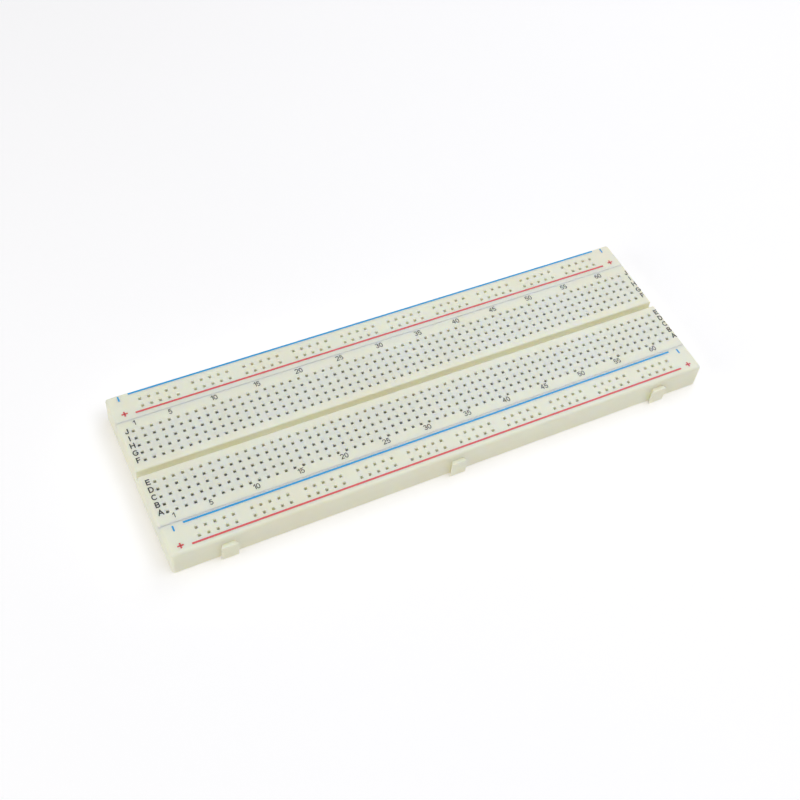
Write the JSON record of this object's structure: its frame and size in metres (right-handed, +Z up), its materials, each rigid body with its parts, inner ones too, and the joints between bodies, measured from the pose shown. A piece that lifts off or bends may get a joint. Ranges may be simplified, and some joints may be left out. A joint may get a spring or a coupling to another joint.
{
  "type": "solderless breadboard",
  "caption": "Flat ivory prototyping board with a grid of sprung tie points, a centre trough, two power buses and side dovetails.",
  "frame": {"origin": "centre of the underside, on the plane the foam base rests on; the dovetail tabs on the front side are left out of the centring", "axes": "+X along the columns from 1 to 63, +Y from row A to row J, +Z up out of the tie-point face"},
  "size_m": [0.165, 0.0558, 0.0085],
  "materials": {
    "ivory_abs": "fine satin moulding",
    "spring_metal": "nickel-plated phosphor bronze",
    "foam": "closed-cell adhesive foam",
    "liner": "waxed release paper",
    "ink_red": "pad-printed ink",
    "ink_blue": "pad-printed ink",
    "ink_black": "pad-printed ink"
  },
  "bodies": {
    "rear_bus": {"rear_bus_block": "ivory_abs", "rear_bus_contact_minus": "spring_metal", "rear_bus_contact_plus": "spring_metal", "rear_bus_foam_pad": "foam", "rear_bus_release_liner": "liner"},
    "terminal": {"terminal_block": "ivory_abs", "clips_a_e_1_9": "spring_metal", "clips_a_e_10_18": "spring_metal", "clips_a_e_19_27": "spring_metal", "clips_a_e_28_36": "spring_metal", "clips_a_e_37_45": "spring_metal", "clips_a_e_46_54": "spring_metal", "clips_a_e_55_63": "spring_metal", "clips_f_j_1_9": "spring_metal", "clips_f_j_10_18": "spring_metal", "clips_f_j_19_27": "spring_metal", "clips_f_j_28_36": "spring_metal", "clips_f_j_37_45": "spring_metal", "clips_f_j_46_54": "spring_metal", "clips_f_j_55_63": "spring_metal", "terminal_foam_pad": "foam", "terminal_release_liner": "liner"},
    "front_bus": {"front_bus_block": "ivory_abs", "front_bus_contact_minus": "spring_metal", "front_bus_contact_plus": "spring_metal", "front_bus_foam_pad": "foam", "front_bus_release_liner": "liner"}
  },
  "joints": [
    {"name": "terminal_lift", "type": "slide", "parent": "rear_bus", "child": "terminal", "axis": [0, 0, 1], "range_m": [0, 0.006]},
    {"name": "front_bus_lift", "type": "slide", "parent": "terminal", "child": "front_bus", "axis": [0, 0, 1], "range_m": [0, 0.006]}
  ]
}
